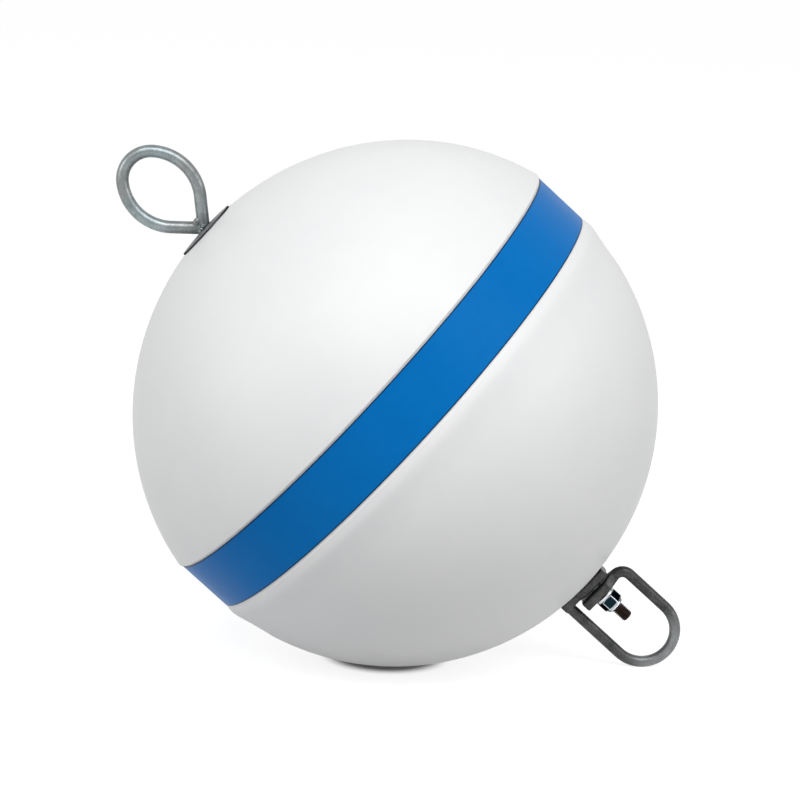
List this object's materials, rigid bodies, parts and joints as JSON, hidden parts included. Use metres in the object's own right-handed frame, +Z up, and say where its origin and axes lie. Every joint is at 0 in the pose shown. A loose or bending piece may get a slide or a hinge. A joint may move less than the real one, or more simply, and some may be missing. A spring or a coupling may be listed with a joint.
{
  "type": "mooring buoy",
  "caption": "Round white mooring buoy with a blue stripe, a through rod ending in a teardrop eye, and a swivel ring held below by a lock nut.",
  "frame": {"origin": "on the floor, under the middle of the whole buoy's box as it lies on its side", "axes": "+Z up; the through rod lies in the XZ plane, with its eye up towards -X and its swivel ring down towards +X; +Y goes through both eyes"},
  "size_m": [0.5108, 0.4606, 0.4596],
  "materials": {
    "float_white": "satin rotomoulded plastic",
    "stripe_blue": "satin adhesive tape",
    "rod_steel": "weathered galvanised bar",
    "plate_steel": "weathered galvanised plate",
    "ring_steel": "dark forged bar, worn at its far bend",
    "nut_steel": "bright bluish zinc plate",
    "nylon": "plain nylon"
  },
  "bodies": {
    "buoy": {"float_shell": "float_white", "stripe": "stripe_blue", "through_rod": "rod_steel", "top_plate": "plate_steel", "low_plate": "plate_steel", "washer": "plate_steel", "lock_nut": "nut_steel", "nut_insert": "nylon"},
    "ring": {"swivel_ring": "ring_steel"}
  },
  "joints": [
    {"name": "ring_swivel", "type": "hinge", "parent": "buoy", "child": "ring", "pos_m": [0.17711, 0, 0.07198], "axis": [0.7593, 0, -0.6508], "continuous": true}
  ]
}
